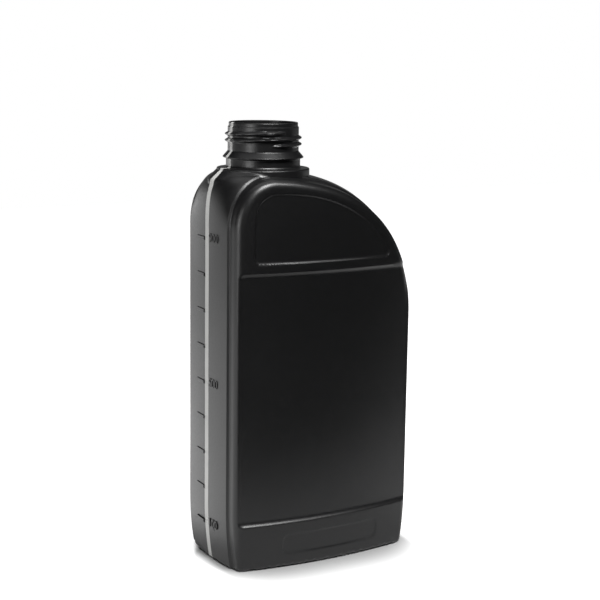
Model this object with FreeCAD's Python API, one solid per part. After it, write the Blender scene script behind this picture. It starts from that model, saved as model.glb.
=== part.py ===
import FreeCAD, Part
import math
import os

# One-litre oil bottle, blown in one piece with a hollow wall and an open, threaded neck.
# Millimetres. +Z is up, the origin is the middle of the base, the wide faces look along -Y and +Y,
# and the narrow side that carries the graduation looks along -X.

V = FreeCAD.Vector
UP = V(0, 0, 1)
DEPTHWISE = V(0, 1, 0)
QUARTER_TURN = math.radians(90.0)
FULL_TURN = math.radians(360.0)
TINY = 0.01                   # two lengths closer than this are the same
SPARE = 1.0                   # how far a cutting block runs past what it cuts

# Wall
WALL = 1.1                    # blown wall
FLOOR_WALL = 1.4              # the base is a little thicker

# Overall sizes of the body
HALF_WIDTH = 51.5             # at the front and back edges of the rim band
SHOULDER_TOP = 193.8          # highest point of the band's edges
FACE_DEPTH = 31.9             # middle of a wide face from the mid-plane

# Rim band: the D-shaped hoop that runs round the narrow sides and the shoulder
PILLOW_DEPTH = 12.5           # how far a wide face stands out in front of the band
BAND_HALF_DEPTH = FACE_DEPTH - PILLOW_DEPTH
CROWN = 1.1                   # how far the middle of the band stands out past its edges
CROWN_RISE = 0.7              # the same on top of the shoulder
CROWN_STATIONS = (-1.0, -0.75, -0.4, 0.0, 0.4, 0.75, 1.0)
PEAK_INSET = 21.5             # from the graduated side to where the outline is highest
PEAK_X = PEAK_INSET - HALF_WIDTH
CORNER_DROP = 26.5            # height of the small corner above the graduated side
SHOULDER_DROP = 73.5          # height of the large shoulder
CORNER_POWER = 2.05           # squareness of the corner at the band's edge
CORNER_CROWN_POWER = 3.5      # and in its middle
SHOULDER_POWER = 2.17
SHOULDER_CROWN_POWER = 2.42
OUTLINE_POINTS = 13           # on each of the two curves
FOOT_HEIGHT = 30.0            # the sides draw in below this height
FOOT_DRAW = 2.5
BASE_RADIUS = 2.4
BASE_FACING = 0.05            # taken off under the base, so that it stands on one flat face

# Front and back faces, bowed in plan
FACE_BOW = 247.0              # radius of the bow
BOW_AXIS_Y = FACE_BOW - FACE_DEPTH
FACE_FOOT_DRAW = 1.1
LEDGE_DEPTH = 1.0             # sloping ledge between the band and the wall of the face
LEDGE_INSET = 1.2
WALL_DRAFT = math.radians(10.0)
FACE_EDGE_RADIUS = BASE_RADIUS + 0.1
INNER_EDGE_RADIUS = 0.6       # least rounding on the inside
PANEL_PLANE = -BAND_HALF_DEPTH

# Label panel, sunk in the face over its whole width
LABEL_SIDE_MARGIN = 3.1
LABEL_BOTTOM = FOOT_HEIGHT - 6.8
LABEL_TOP = SHOULDER_TOP - 46.2
LABEL_SINK = 1.2
LABEL_EDGE_RADIUS = 3.0
LABEL_CORNER = 2.5

# Upper panel, D-shaped like the shoulder above it
UPPER_GAP = 4.8               # land between the two panels
UPPER_BOTTOM = LABEL_TOP + UPPER_GAP
UPPER_LEFT = 9.2 - HALF_WIDTH
UPPER_MARGIN = 8.4            # from the edge of the outline
UPPER_SINK = 0.45
UPPER_CORNER = 4.0
PANEL_EDGE_RADIUS = 1.2

# Foot panel
FOOT_PANEL_BOTTOM = 7.0
FOOT_PANEL_TOP = 17.4
FOOT_PANEL_LEFT = 26.0 - HALF_WIDTH
FOOT_PANEL_RIGHT = HALF_WIDTH - 22.0
FOOT_PANEL_SINK = 0.4
FOOT_PANEL_CORNER = 3.5

# Push-up under the base
PUSH_UP = 3.0
PUSH_UP_MARGIN = 6.5
PUSH_UP_CORNER = 8.0
PUSH_UP_LIP = 0.5             # upright part of its edge, below the rounding

# Neck: heights are stacked from the shoulder up
NECK_INSET = 29.4             # from the graduated side to the neck's axis
NECK_X = NECK_INSET - HALF_WIDTH
NECK_RADIUS = 17.3            # thread root
NECK_BORE = NECK_RADIUS - 1.9
NECK_FOOT_RADIUS = NECK_RADIUS + 0.8
BEAD_RADIUS = NECK_RADIUS + 2.4
PLATFORM_RADIUS = NECK_RADIUS + 5.4
NECK_ROOT = SHOULDER_TOP - 15.8
PLATFORM_TOP = SHOULDER_TOP + 1.6
BEAD_BOTTOM = PLATFORM_TOP + 4.5
BEAD_PEAK = BEAD_BOTTOM + 0.7
BEAD_TOP = BEAD_PEAK + 3.2
RIM_TOP = BEAD_TOP + 13.6
PLATFORM_EDGE = 0.6
PLATFORM_RAMP = 4.7           # drop of the slope from its rim to the graduated side
RAMP_START = 0.9              # from the platform's rim in to where the slope begins
NECK_FOOT_FILLET = 1.3
BEAD_EDGE = 0.35
BEAD_FILLET = 0.8
RIM_EDGE = 0.6

# Thread
THREAD_RADIUS = NECK_RADIUS + 1.4
THREAD_PITCH = 3.1
THREAD_BOTTOM = BEAD_TOP + 2.5
THREAD_TURNS = 2.07
THREAD_START = math.radians(-104.0)
THREAD_ROOT_SINK = 0.6        # how deep the thread's root is set into the neck
THREAD_ROOT_HEIGHT = 2.5
THREAD_CREST_HEIGHT = 0.5
THREAD_RUN_IN = math.radians(28.0)
THREAD_STEP = math.radians(10.0)

# Graduation bars, one for each 100 ml, on the straight of the narrow side
BAR_FIRST = 19.3
BAR_PITCH = 17.82
BAR_COUNT = 1 + int((SHOULDER_TOP - CORNER_DROP - BAR_FIRST) / BAR_PITCH)
BAR_NEAR = 2.1                # nearer end from the mid-plane
BAR_LENGTH = 8.2
BAR_HEIGHT = 1.9
BAR_STAND = 0.45


def line(a, b):
    return Part.LineSegment(a, b).toShape()


def arc(start, middle, end):
    return Part.Arc(start, middle, end).toShape()


def quarter(centre, reach, rise, power):
    """Quarter of a superellipse from its side point up to its top point, in the plane of centre."""
    points = []
    for step in range(OUTLINE_POINTS):
        turn = QUARTER_TURN * step / (OUTLINE_POINTS - 1)
        across = reach * math.cos(turn) ** (2.0 / power)
        up = rise * math.sin(turn) ** (2.0 / power)
        points.append(centre + V(across, 0, up))
    curve = Part.BSplineCurve()
    curve.interpolate(points, InitialTangent=UP, FinalTangent=V(-reach, 0, 0).normalize())
    return curve.toShape()


def arc_radius(draw):
    """Radius of the arc that draws in by this much from the foot's height down to the base."""
    return (FOOT_HEIGHT ** 2 + draw ** 2) / (2 * draw)


def foot(side, half, y, floor):
    """Arc of the foot and base corner on one side (+1 or -1), and the corner's end on the floor."""
    radius = arc_radius(FOOT_DRAW)
    centre_z = floor + BASE_RADIUS
    # The base corner is tangent to the floor and to the foot's arc, inside it.
    reach = math.sqrt((radius - BASE_RADIUS) ** 2 - (FOOT_HEIGHT - centre_z) ** 2)
    centre_x = half - radius + reach
    turn = math.atan2(FOOT_HEIGHT - centre_z, reach)

    def on_corner(angle):
        x = centre_x + BASE_RADIUS * math.cos(angle)
        return V(side * x, y, centre_z - BASE_RADIUS * math.sin(angle))

    def on_foot(angle):
        x = half - radius + radius * math.cos(angle)
        return V(side * x, y, FOOT_HEIGHT - radius * math.sin(angle))

    floor_end = V(side * centre_x, y, floor)
    corner = arc(floor_end, on_corner((turn + QUARTER_TURN) / 2), on_corner(turn))
    return [corner, arc(on_corner(turn), on_foot(turn / 2), on_foot(0.0))], floor_end


def outline(y, inset=0.0, crown=0.0, floor=0.0):
    """The D-shaped outline at depth y. crown is 0 at the band's edges and 1 in its middle."""
    half = HALF_WIDTH + CROWN * crown - inset
    top = SHOULDER_TOP + CROWN_RISE * crown - inset
    corner_power = CORNER_POWER + (CORNER_CROWN_POWER - CORNER_POWER) * crown
    shoulder_power = SHOULDER_POWER + (SHOULDER_CROWN_POWER - SHOULDER_POWER) * crown
    corner_z = SHOULDER_TOP - CORNER_DROP
    shoulder_z = SHOULDER_TOP - SHOULDER_DROP
    right_foot, right_end = foot(1, half, y, floor)
    left_foot, left_end = foot(-1, half, y, floor)
    edges = right_foot + left_foot + [
        line(left_end, right_end),
        line(V(half, y, FOOT_HEIGHT), V(half, y, shoulder_z)),
        line(V(-half, y, FOOT_HEIGHT), V(-half, y, corner_z)),
        quarter(V(PEAK_X, y, shoulder_z), half - PEAK_X, top - shoulder_z, shoulder_power),
        quarter(V(PEAK_X, y, corner_z), -half - PEAK_X, top - corner_z, corner_power),
    ]
    return Part.Wire(Part.__sortEdges__(edges))


def band(inset, floor):
    """The crowned hoop, as a solid slab between its two flat edges."""
    sections = []
    for share in CROWN_STATIONS:
        sections.append(outline(share * BAND_HALF_DEPTH, inset, 1.0 - share ** 2, floor))
    return Part.makeLoft(sections, True, False)


def face_block(inset, floor):
    """The ledge and the drafted block behind the front face, before the bow is cut on it."""
    reach = FACE_DEPTH + SPARE
    ledge_end = BAND_HALF_DEPTH + LEDGE_DEPTH
    wall_inset = inset + LEDGE_INSET
    last_inset = wall_inset + (reach - ledge_end) * math.tan(WALL_DRAFT)
    root = outline(-BAND_HALF_DEPTH, inset, floor=floor)
    knee = outline(-ledge_end, wall_inset, floor=floor)
    last = outline(-reach, last_inset, floor=floor)
    ledge = Part.makeLoft([root, knee], True, True)
    return ledge.fuse(Part.makeLoft([knee, last], True, True))


def draw_at(z):
    """How far the foot draws the bowed face in at this height."""
    below = min(max(FOOT_HEIGHT - z, 0.0), FOOT_HEIGHT)
    radius = arc_radius(FACE_FOOT_DRAW)
    return radius - math.sqrt(radius ** 2 - below ** 2)


def bow_solid(inset):
    """Everything behind the bowed face: a drum round the bow's axis, drawn in at the foot."""
    radius = FACE_BOW - inset

    def at(away, z):
        # Drawn on the drum's far side, so that its seam is well away from the face.
        return V(0, BOW_AXIS_Y + away, z)

    low = at(radius - FACE_FOOT_DRAW, 0)
    middle = at(radius - draw_at(FOOT_HEIGHT / 2), FOOT_HEIGHT / 2)
    knee = at(radius, FOOT_HEIGHT)
    under = at(radius - FACE_FOOT_DRAW, -SPARE)
    edges = [
        line(at(0, -SPARE), under),
        line(under, low),
        arc(low, middle, knee),
        line(knee, at(radius, RIM_TOP)),
        line(at(radius, RIM_TOP), at(0, RIM_TOP)),
        line(at(0, RIM_TOP), at(0, -SPARE)),
    ]
    return Part.Face(Part.Wire(edges)).revolve(V(0, BOW_AXIS_Y, 0), UP, 360)


def front_edges(block):
    """Edges all round the bowed face."""
    ledge_end = -BAND_HALF_DEPTH - LEDGE_DEPTH
    return [edge for edge in block.Edges if edge.BoundBox.YMax < ledge_end - TINY]


def on_bow(point, inset):
    """Whether a point lies on the bowed face moved in by this inset."""
    away = math.hypot(point.x, point.y - BOW_AXIS_Y)
    return abs(away - (FACE_BOW - inset - draw_at(point.z))) < TINY


def on_knee(point):
    """Whether a point is at the height where the foot begins."""
    return abs(point.z - FOOT_HEIGHT) < TINY


def sunk_panel(wire, sink, edge_radius, inset):
    """Cutter for a shallow panel: a prism through the face, rounded where it meets its floor."""
    prism = Part.Face(wire).extrude(V(0, -FACE_DEPTH, 0))
    cutter = prism.cut(bow_solid(inset + sink))
    edges = []
    for edge in cutter.Edges:
        points = edge.discretize(5)
        if all(on_bow(point, inset + sink) for point in points) and not all(map(on_knee, points)):
            edges.append(edge)
    return cutter.makeFillet(edge_radius, edges)


def rounded_rectangle(left, right, bottom, top, radius):
    """Wire in the plane that the panels' cutters start from."""
    y = PANEL_PLANE
    corners = [V(left, y, bottom), V(right, y, bottom), V(right, y, top), V(left, y, top)]
    edges = []
    for index, corner in enumerate(corners):
        following = corners[(index + 1) % 4]
        before = (corners[index - 1] - corner).normalize()
        after = (following - corner).normalize()
        start = corner + before * radius
        end = corner + after * radius
        middle = corner + (before + after) * radius * (1 - math.sqrt(0.5))
        edges.append(arc(start, middle, end))
        edges.append(line(end, following - after * radius))
    return Part.Wire(edges)


def label_wire(grow):
    half = HALF_WIDTH - LABEL_SIDE_MARGIN + grow
    return rounded_rectangle(-half, half, LABEL_BOTTOM - grow, LABEL_TOP + grow, LABEL_CORNER)


def foot_panel_wire(grow):
    return rounded_rectangle(FOOT_PANEL_LEFT - grow, FOOT_PANEL_RIGHT + grow,
                             FOOT_PANEL_BOTTOM - grow, FOOT_PANEL_TOP + grow, FOOT_PANEL_CORNER)


def upper_panel_wire(grow):
    """Outline of the upper panel: the shoulder, moved in, closed by a straight left side and bottom."""
    left = UPPER_LEFT - grow
    bottom = UPPER_BOTTOM - grow
    slab = Part.Face(outline(PANEL_PLANE, UPPER_MARGIN - grow)).extrude(V(0, -SPARE, 0))
    window = Part.makeBox(2 * HALF_WIDTH, SPARE, SHOULDER_TOP, V(left, PANEL_PLANE - SPARE, bottom))
    slab = slab.common(window)
    corners = []
    for edge in slab.Edges:
        box = edge.BoundBox
        along_depth = box.XLength < TINY and box.ZLength < TINY
        if along_depth and (box.ZMin < bottom + TINY or box.XMin < left + TINY):
            corners.append(edge)
    slab = slab.makeFillet(UPPER_CORNER, corners)
    return [side for side in slab.Faces if side.BoundBox.YMin > PANEL_PLANE - TINY][0].OuterWire


def face(inset, floor):
    """Finished front face with its three sunk panels, behind the band's front edge."""
    block = face_block(inset, floor).common(bow_solid(inset))
    block = block.makeFillet(max(FACE_EDGE_RADIUS - inset, INNER_EDGE_RADIUS), front_edges(block))
    block = block.cut(sunk_panel(label_wire(inset), LABEL_SINK, LABEL_EDGE_RADIUS, inset))
    block = block.cut(sunk_panel(upper_panel_wire(inset), UPPER_SINK, PANEL_EDGE_RADIUS, inset))
    return block.cut(sunk_panel(foot_panel_wire(inset), FOOT_PANEL_SINK, PANEL_EDGE_RADIUS, inset))


def push_up(grow):
    """Shallow hollow under the base, or with grow the wall's inner side over it."""
    margin = PUSH_UP_MARGIN - grow
    half = HALF_WIDTH - FOOT_DRAW - margin
    height = PUSH_UP + grow
    block = Part.makeBox(2 * half, 2 * FACE_DEPTH, height, V(-half, -FACE_DEPTH, 0))
    for side in (1, -1):
        drum = Part.makeCylinder(FACE_BOW - FACE_FOOT_DRAW - margin, height, V(0, side * BOW_AXIS_Y, 0))
        block = block.common(drum)
    uprights = [edge for edge in block.Edges if edge.BoundBox.ZLength > height - TINY]
    block = block.makeFillet(PUSH_UP_CORNER, uprights)
    top = [edge for edge in block.Edges if edge.BoundBox.ZMin > height - TINY]
    return block.makeFillet(height - PUSH_UP_LIP, top)


def body(inset, floor):
    """The whole shell's outside, or with an inset its inside, below the platform."""
    front = face(inset, floor)
    rear = front.mirror(V(0, 0, 0), DEPTHWISE)
    return band(inset, floor).fuse([front, rear])


def below_base():
    """Everything under the plane that the bottle stands on."""
    half = HALF_WIDTH + SPARE
    depth = FACE_DEPTH + SPARE
    return Part.makeBox(2 * half, 2 * depth, SPARE, V(-half, -depth, -SPARE))


def turned(profile):
    """Solid of revolution about the neck's axis, from (radius, height) points."""
    points = [V(NECK_X + radius, 0, height) for radius, height in profile]
    wire = Part.makePolygon(points + [points[0]])
    return Part.Face(wire).revolve(V(NECK_X, 0, 0), UP, 360)


def round_edges(shape, radius, height, size):
    """Fillet the circular edges of this radius at this height."""
    edges = []
    for edge in shape.Edges:
        box = edge.BoundBox
        level = abs(box.ZMin - height) < TINY and abs(box.ZMax - height) < TINY
        if level and abs(box.YMax - radius) < TINY:
            edges.append(edge)
    return shape.makeFillet(size, edges)


def neck_outside():
    """Platform, plain land, snap bead and the land that carries the thread."""
    shape = turned([
        (0, NECK_ROOT),
        (PLATFORM_RADIUS, NECK_ROOT),
        (PLATFORM_RADIUS, PLATFORM_TOP),
        (NECK_FOOT_RADIUS, PLATFORM_TOP),
        (NECK_FOOT_RADIUS, BEAD_BOTTOM),
        (BEAD_RADIUS, BEAD_PEAK),
        (NECK_RADIUS, BEAD_TOP),
        (NECK_RADIUS, RIM_TOP),
        (0, RIM_TOP),
    ])
    shape = round_edges(shape, PLATFORM_RADIUS, PLATFORM_TOP, PLATFORM_EDGE)
    shape = round_edges(shape, NECK_FOOT_RADIUS, PLATFORM_TOP, NECK_FOOT_FILLET)
    shape = round_edges(shape, BEAD_RADIUS, BEAD_PEAK, BEAD_EDGE)
    shape = round_edges(shape, NECK_RADIUS, BEAD_TOP, BEAD_FILLET)
    return round_edges(shape, NECK_RADIUS, RIM_TOP, RIM_EDGE)


def neck_inside():
    """Space inside the platform, and the straight bore through the neck."""
    return turned([
        (0, NECK_ROOT),
        (PLATFORM_RADIUS - WALL, NECK_ROOT),
        (PLATFORM_RADIUS - WALL, PLATFORM_TOP - WALL),
        (NECK_BORE, PLATFORM_TOP - WALL),
        (NECK_BORE, RIM_TOP + SPARE),
        (0, RIM_TOP + SPARE),
    ])


def ramp(inset):
    """Slope from the platform's rim down towards the graduated side, and the upright under it."""
    rim = Part.Circle(V(NECK_X, 0, PLATFORM_TOP - inset), UP, PLATFORM_RADIUS - RAMP_START - inset)
    disc = Part.Face(Part.Wire(rim.toShape()))
    shift = V(-PLATFORM_RAMP - RAMP_START, 0, -PLATFORM_RAMP)
    slope = disc.extrude(shift)
    drop = NECK_ROOT - PLATFORM_TOP + inset + PLATFORM_RAMP
    return slope.fuse(disc.translated(shift).extrude(V(0, 0, drop)))


def thread_section(turn, last):
    """Trapezium of the thread at this angle from its start, lower in its run-ins."""
    run = min(turn, last - turn, THREAD_RUN_IN) / THREAD_RUN_IN
    share = math.sin(QUARTER_TURN * max(run, 0.0))
    root = NECK_RADIUS - THREAD_ROOT_SINK
    low_crest = NECK_RADIUS - THREAD_ROOT_SINK / 2
    crest = low_crest + (THREAD_RADIUS - low_crest) * share
    half_root = THREAD_ROOT_HEIGHT / 2
    half_crest = THREAD_CREST_HEIGHT / 2
    height = THREAD_BOTTOM + THREAD_PITCH * turn / FULL_TURN
    angle = THREAD_START + turn
    points = []
    for radius, rise in ((root, -half_root), (crest, -half_crest), (crest, half_crest), (root, half_root)):
        points.append(V(NECK_X + radius * math.cos(angle), radius * math.sin(angle), height + rise))
    return Part.makePolygon(points + [points[0]])


def thread():
    """Right-hand thread, cut clear of the bore."""
    last = FULL_TURN * THREAD_TURNS
    steps = round(last / THREAD_STEP)
    sections = [thread_section(last * step / steps, last) for step in range(steps + 1)]
    return Part.makeLoft(sections, True, False).cut(neck_inside())


def bars():
    """Raised bars of the graduation on the narrow side, following the crown."""
    skin = band(-BAR_STAND, 0.0)
    outer = -HALF_WIDTH - CROWN - BAR_STAND - SPARE
    inner = -HALF_WIDTH + WALL / 2
    found = []
    for index in range(BAR_COUNT):
        bottom = BAR_FIRST + BAR_PITCH * index - BAR_HEIGHT / 2
        block = Part.makeBox(inner - outer, BAR_LENGTH, BAR_HEIGHT, V(outer, BAR_NEAR, bottom))
        found.append(skin.common(block))
    return found


def bottle():
    outside = body(0.0, -BASE_FACING).cut(below_base())
    outside = outside.fuse([ramp(0.0), neck_outside()] + bars()).cut(push_up(0.0))
    inside = body(WALL, FLOOR_WALL).cut(push_up(WALL)).fuse([ramp(WALL), neck_inside()])
    print("inside, litres:", round(inside.Volume / 1e6, 3))
    shell = outside.cut(inside).fuse(thread())
    return shell.removeSplitter()


if __name__ == "__main__":
    os.makedirs("parts", exist_ok=True)
    shape = bottle()
    print("valid:", shape.isValid(), "solids:", len(shape.Solids), "cm3:", round(shape.Volume / 1e3, 2))
    shape.exportStep("parts/bottle.step")
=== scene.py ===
import math

import bmesh
import bpy
import numpy as np
from mathutils import Matrix, Vector
from mathutils.geometry import delaunay_2d_cdt


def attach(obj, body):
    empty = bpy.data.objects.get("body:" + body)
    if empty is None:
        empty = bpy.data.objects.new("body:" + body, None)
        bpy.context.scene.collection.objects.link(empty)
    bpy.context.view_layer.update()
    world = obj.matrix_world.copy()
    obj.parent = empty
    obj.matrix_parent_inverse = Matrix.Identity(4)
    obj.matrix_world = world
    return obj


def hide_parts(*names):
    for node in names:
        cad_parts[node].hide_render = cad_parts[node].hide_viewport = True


# A one-litre blown oil bottle. The CAD node is replaced by a finer mesh of the same shape, built from the
# same dimensions. Sizes are in millimetres, but the floor's, the lamps' and the meshes' own are in metres.

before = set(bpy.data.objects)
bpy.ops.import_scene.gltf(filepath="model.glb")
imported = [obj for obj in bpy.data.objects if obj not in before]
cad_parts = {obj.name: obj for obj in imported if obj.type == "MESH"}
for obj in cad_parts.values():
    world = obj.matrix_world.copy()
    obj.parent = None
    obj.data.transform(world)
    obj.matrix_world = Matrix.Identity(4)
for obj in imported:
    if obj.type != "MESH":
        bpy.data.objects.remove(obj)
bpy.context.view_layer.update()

MM = 0.001
QUARTER = math.radians(90.0)

# Rim band, the D-shaped hoop round the narrow sides and the shoulder
HALF_WIDTH = 51.5
CROWN = 1.1
BAND_HALF_DEPTH = 19.4
SHOULDER_TOP = 193.8
CROWN_TOP = 194.5
PEAK_X = -30.0
CORNER_DROP = 25.8
SHOULDER_DROP = 73.5
CORNER_POWER = 2.05
CORNER_CROWN_POWER = 4.7
CORNER_CROWN_DROP = 10.7      # the corner starts this much lower in the middle of the band
SHOULDER_POWER = 2.17
SHOULDER_CROWN_POWER = 2.42
FOOT_HEIGHT = 30.0
FOOT_DRAW = 2.5
BASE_RADIUS = 2.4

# Bowed faces, with a sloping ledge and a drafted wall round them
FACE_DEPTH = 31.89
FACE_BOW = 247.0
FACE_FOOT_DRAW = 1.1
LEDGE_DEPTH = 1.0
LEDGE_INSET = 1.2
WALL_SLOPE = 1.0 / math.tan(math.radians(10.0))
WALL_SLOPE_LEFT = 1.0 / math.tan(math.radians(5.0))
SLOPE_CHANGE = (-42.0, -10.0)  # where the one turns into the other
FACE_EDGE_RADIUS = 4.0
FACE_BASE_RADIUS = 2.5        # the same at the base

# Sunk panels
LABEL_BOTTOM, LABEL_TOP = 23.2, 147.6
LABEL_HALF_WIDTH = 48.4
LABEL_SINK = 1.2
LABEL_EDGE_RADIUS = 3.0
LABEL_CORNER = 2.5
UPPER_BOTTOM = 151.8
UPPER_LEFT = -42.3
UPPER_MARGIN = 8.4
UPPER_SINK = 0.7
UPPER_CORNER = 4.0
UPPER_EDGE_RADIUS = 1.7
UPPER_MIDDLE = (-8.0, 166.0)
FOOT_PANEL_X = (-25.5, 29.5)
FOOT_PANEL_Z = (7.0, 17.4)
FOOT_PANEL_SINK = 0.4
FOOT_PANEL_CORNER = 3.5
FOOT_PANEL_EDGE_RADIUS = 1.2
FOOT_PANEL_MIDDLE = (2.0, 12.2)
STEP_SOFTNESS = 0.3           # how far the edge of a panel is blurred
UPPER_SOFTNESS = 0.12

# Base and wall
PUSH_UP = 3.0
PUSH_UP_MARGIN = 6.5
PUSH_UP_RUN = 5.0
WALL = 1.1
FLOOR_WALL = 1.4

# Neck
NECK_X = -22.1
NECK_ROOT = 184.0
PLATFORM_RADIUS = 22.7
PLATFORM_TOP = 195.4
PLATFORM_ROUNDING = 0.7
PLATFORM_FILLET = 1.3         # between the platform and the neck's foot
NECK_FOOT_RADIUS = 18.1
BEAD_RADIUS = 19.7
BEAD_BOTTOM = 199.9
BEAD_PEAK = 200.6
BEAD_TOP = 203.8
BEAD_ROUNDING = 0.4
BEAD_FILLET = 0.25            # under the bead
BEAD_TOP_FILLET = 0.8
BEAD_LAND = 1.2               # between a row on the neck's foot and the bead
NECK_RADIUS = 17.3
NECK_BORE = 15.4
RIM_TOP = 217.4
RIM_STEP = ((0.0, 2.3), (0.2, 2.1), (0.45, 1.9))  # how far back and down, from the neck to the rim
RIM_ROUNDING = 0.5
RIM_OVERLAP = 0.6             # the rim goes this far into the bore, which is cut out afterwards
NECK_LAND = (0.3, 2.4)        # rows of the threaded land start this far above the bead, and end below the rim
NECK_ROW = 0.17
NECK_SIDES = 240
BORE_SIDES = 160
HOLLOW_DROP = 4.0             # the hollow under the platform starts this far below the neck's root
HOLLOW_CHAMFER = 0.5
LIP_CHAMFER = 0.45
LIP_DROP = 0.4                # and the chamfer starts this far below the rim
CUT_PAST = (0.05, 1.0)        # the bore's cut goes on above the rim

# Slope from the platform's rim down to the graduated side
PLATFORM_RAMP = 4.7
RAMP_START = 0.9
RAMP_SHARES = (0.06, 0.5, 0.94, 1.0)
RAMP_FOOT = ((0.35, 0.55), (0.60, 1.2), (0.85, 2.3), (1.05, 4.0), (1.20, 6.7))  # steeper below it: out, down
RAMP_OVERLAP = 1.0            # past the neck's axis
RAMP_SIDES = 80

# Thread
THREAD_RADIUS = 18.7
THREAD_PITCH = 3.1
THREAD_BOTTOM = 206.3
THREAD_TURNS = 2.07
THREAD_START = math.radians(-104.0)
THREAD_HALF = 1.15            # half the thread's height where it leaves the neck
THREAD_END = 0.55             # share of that height at its two ends
THREAD_CREST_HALF = 0.22
THREAD_RUN_IN = math.radians(30.0)
THREAD_ROUNDING = 0.22

# Graduation
BAR_COUNT = 9
BAR_FIRST = 19.3
BAR_PITCH = 17.82
BAR_Y = (2.1, 10.3)
BAR_HEIGHT = 1.9
BAR_STAND = 0.45
BAR_RISES = (-0.7, 0.5, 1.0)  # shares of the stand at the bar's edge, next to it and inside
BAR_SET_IN = 0.7
BAR_END_ROWS = (0.0, 0.1, 0.3)    # rows at its ends, and along its sides
BAR_SIDE_ROWS = (0.0, 0.08, 0.28)
BAR_FLAT = (1.2, 7)           # then this many rows that start this far in
NUMERAL_STAND = 0.35
NUMERAL_SET_IN = 0.6
NUMERAL_Y = -7.1
NUMERAL_RISE = 0.7
NUMERAL_SIZE = 6.2
NUMERAL_STRETCH = 0.95
NUMERAL_WEIGHT = 0.03
NUMERAL_CURVE_STEPS = 5
NUMERALS = (("100", 0), ("500", 4), ("900", 8))

# Sections of the skin, from the mid-plane over the band, ledge and wall to the face
STATIONS = (6, 10, 34, 30, 64, 24, 10, 6)  # how many there are in each eighth of the outline
STATION_GAP = 0.004
CROWN_SHARES = (0.0, 0.14, 0.28, 0.42, 0.55, 0.67, 0.78, 0.87, 0.94, 0.985)
LEDGE_SHARES = (0.02, 0.16, 0.43, 0.72, 0.94)
PAST_LEDGE = (0.03, 0.1)
WALL_PROBE = 3.5              # inset where a section reads the face's depth and the wall's slope
ROUNDING_STEPS = 9
PAST_ROUNDING = (0.35, 1.4)
ON_FACE = 40.0                # an inset well past the rounding

# The outer skin is fine, with rows along its panels' steps, and the inner one is coarse. Each has its share
# of the stations, points in a face's bottom row, clearance inside a face's edge, and pitches of the points
# in a face, along a face's base and in the base.
FINE = {"stations": 1.0, "bottom": 44, "clearance": 0.5, "face": 4.0, "face base": 2.5, "base": (2.0, 1.0)}
COARSE = {"stations": 0.4, "bottom": 12, "clearance": 1.5, "face": 9.0, "face base": 9.0, "base": (6.0, 4.0)}

# Points inside the faces and the base
NET_HALF_WIDTH = 48.0
BASE_NET = (46.0, 28.0)       # half width, half depth
NET_STOP = 0.1                # keeps the last point of a net
ROW_CLEARANCE = 1.2           # between the net and the rows along the label panel's steps
ROW_PITCH = 2.0
LOW_CLEARANCE = 0.1           # above a face's bottom row
LABEL_STATIONS = (-1.0, -0.3, 0.0, 0.3, 0.7, 1.2, 1.8, 2.4, 3.2)
LABEL_ROWS = (-0.9, -0.3, 0.0, 0.3, 0.7, 1.2, 1.8, 2.3, 2.8, 3.4)
PANEL_STEPS = (-1.0, -0.25, -0.03, 0.15, 0.35, 0.6, 0.9, 1.25, 1.7)
UPPER_RAYS = 240
FOOT_PANEL_RAYS = 150
BASE_ROWS = (0.12, 0.35, 0.7, 1.15, 1.7, 2.3, 2.9)
BASE_CLEARANCE = 0.8

# Searches by halving: the range of the inset or distance, and how often it is halved
INSET_RANGE = (-3.0, 48.0)
INSET_HALVINGS = 26
INSET_LEAST = 0.05            # the outline's reach and rise don't fall below this
CONTOUR_REACH = 60.0
CONTOUR_HALVINGS = 30

# Tolerances: the first in metres, the next two in millimetres
WELD = 2e-6
FIGURE_WELD = 1e-4
FLAT_WELD = 1e-5
SHARP_ANGLE = math.radians(38.0)

# View strip
STRIP_HALF = 1.85
STRIP_Y = -0.3
NECK_STRIP_HALF = 1.2
NECK_STRIP_Y = 0.5
NECK_STRIP_RISE = 2.0         # above the platform, where the strip has the neck's width
STRIP_END = -27.0             # the stripe lies on this side of here
STRIP_WAVER = 0.9             # range over which its edges wander
STRIP_EDGE = (0.16, -0.10)    # distances past the edge where the pale colour starts and is full

# Plastic. Noises are scale per metre, detail and, where it isn't the usual one, roughness.
BLACK_LOW = (0.0034, 0.0034, 0.0036, 1.0)
BLACK_HIGH = (0.0047, 0.0047, 0.0050, 1.0)
PALE_LOW = (0.48, 0.48, 0.468, 1.0)
PALE_HIGH = (0.56, 0.56, 0.543, 1.0)
WAVER_NOISE = (22.0, 3.0)
CLOUD_NOISE = (9.0, 3.0)
GRAIN_NOISE = (900.0, 2.0, 0.6)
PALE_NOISE = (60.0, 4.0)
WAVE_NOISE = (16.0, 1.5)
NOISE_SPAN = (0.3, 0.7)
CLOUD_ROUGHNESS = (0.335, 0.39)
GRAIN_ROUGHNESS = (-0.03, 0.03)
IOR = 1.52
GRAIN_BUMP = (0.16, 0.06)     # strength, distance
WAVE_BUMP = (0.35, 1.0)

# World: the dim room, and a low white wall behind it that only reflections see
ROOM = 0.02
WALL_BEHIND = (0.55, 0.80)    # directions that see the white wall: how far back
WALL_HEIGHT = (0.35, 0.05)    # and how high
WALL_STRENGTH = 0.35

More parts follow.
